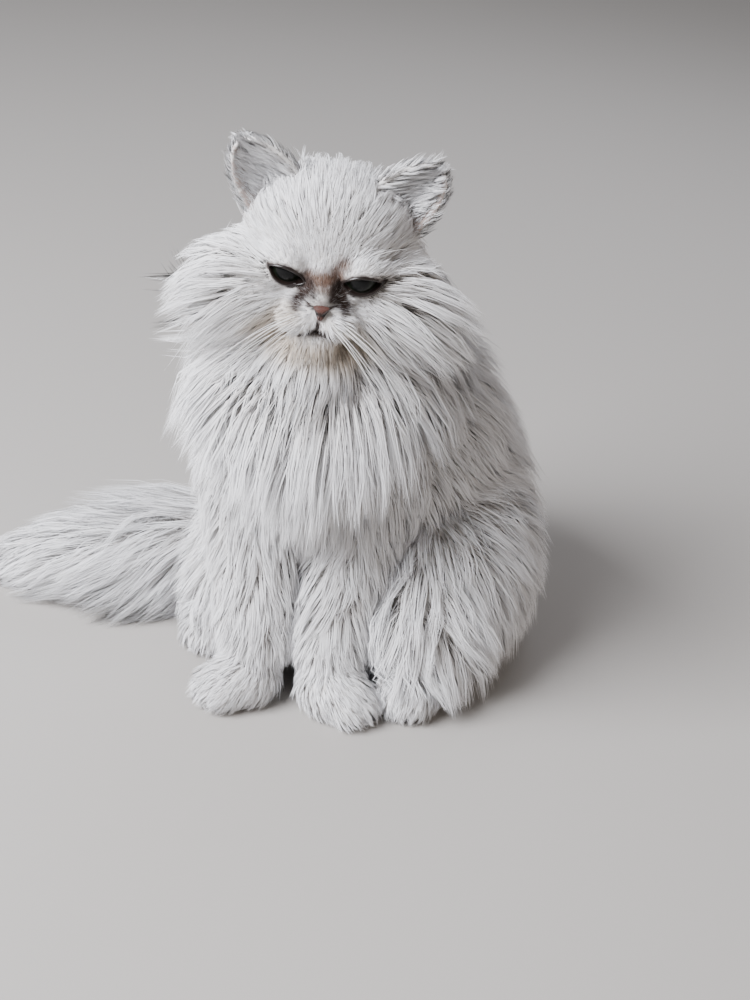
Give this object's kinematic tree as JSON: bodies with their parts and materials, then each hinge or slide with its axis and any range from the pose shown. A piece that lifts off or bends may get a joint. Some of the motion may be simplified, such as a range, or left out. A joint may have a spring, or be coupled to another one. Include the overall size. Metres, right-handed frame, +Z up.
{
  "type": "persian cat",
  "caption": "Sitting long-haired cat with a flat face, small ears, chest ruff and a plumed tail laid on the floor, as a still life-size model.",
  "frame": {"origin": "on the floor under the middle of the whole model's box", "axes": "+Z up, the face looks along -Y, +X towards the cat's own left"},
  "size_m": [0.414, 0.2972, 0.3779],
  "materials": {
    "fur": "soft matt long white hair",
    "ear_skin": "thin pale skin under short hair",
    "nose_leather": "moist fine-grained skin",
    "eye": "wet gloss, very dark green"
  },
  "bodies": {
    "root": {"head": "fur", "ear_left": "ear_skin", "ear_right": "ear_skin", "eye_left": "eye", "eye_right": "eye", "nose": "nose_leather", "neck": "fur", "torso": "fur", "front_leg_left": "fur", "front_leg_right": "fur", "hind_leg_left": "fur", "hind_leg_right": "fur", "tail": "fur"}
  },
  "joints": []
}
